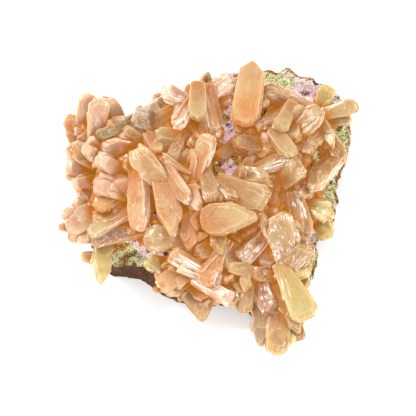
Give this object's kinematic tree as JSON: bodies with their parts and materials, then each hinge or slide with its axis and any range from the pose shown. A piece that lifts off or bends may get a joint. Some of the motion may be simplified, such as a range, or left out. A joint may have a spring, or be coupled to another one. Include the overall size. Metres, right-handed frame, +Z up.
{
  "type": "stilbite and mordenite mineral specimen",
  "caption": "Loose mineral specimen: peach stilbite blades and sheaves on a felted mordenite crust over a broken, flat-based basalt plate.",
  "frame": {"origin": "Middle of the footprint of the whole specimen, on the flat underside of the basalt.", "axes": "+Z is up out of the flat underside, through the crystals. +X and +Y lie in the plane it rests on: seen from above as in the picture, +X is to the right and +Y is to the top."},
  "size_m": [0.1118, 0.1104, 0.0437],
  "materials": {
    "stilbite": "pearly, translucent peach crystal, saturated orange in the clefts and cream at the tips",
    "mordenite": "matt felt of fine needles, pinkish white, turning olive and yellow-green towards the rim",
    "basalt": "matt, fine-grained, dark brown broken stone"
  },
  "bodies": {
    "root": {"basalt_matrix": "basalt", "mordenite_crust": "mordenite", "stilbite_centre_sheaf": "stilbite", "stilbite_crossed_bars": "stilbite", "stilbite_northeast_sheaf": "stilbite", "stilbite_east_blades": "stilbite", "stilbite_southeast_fan": "stilbite", "stilbite_south_sheaf": "stilbite", "stilbite_north_sheaf": "stilbite", "stilbite_west_sheaf": "stilbite", "stilbite_southwest_blades": "stilbite"}
  },
  "joints": []
}
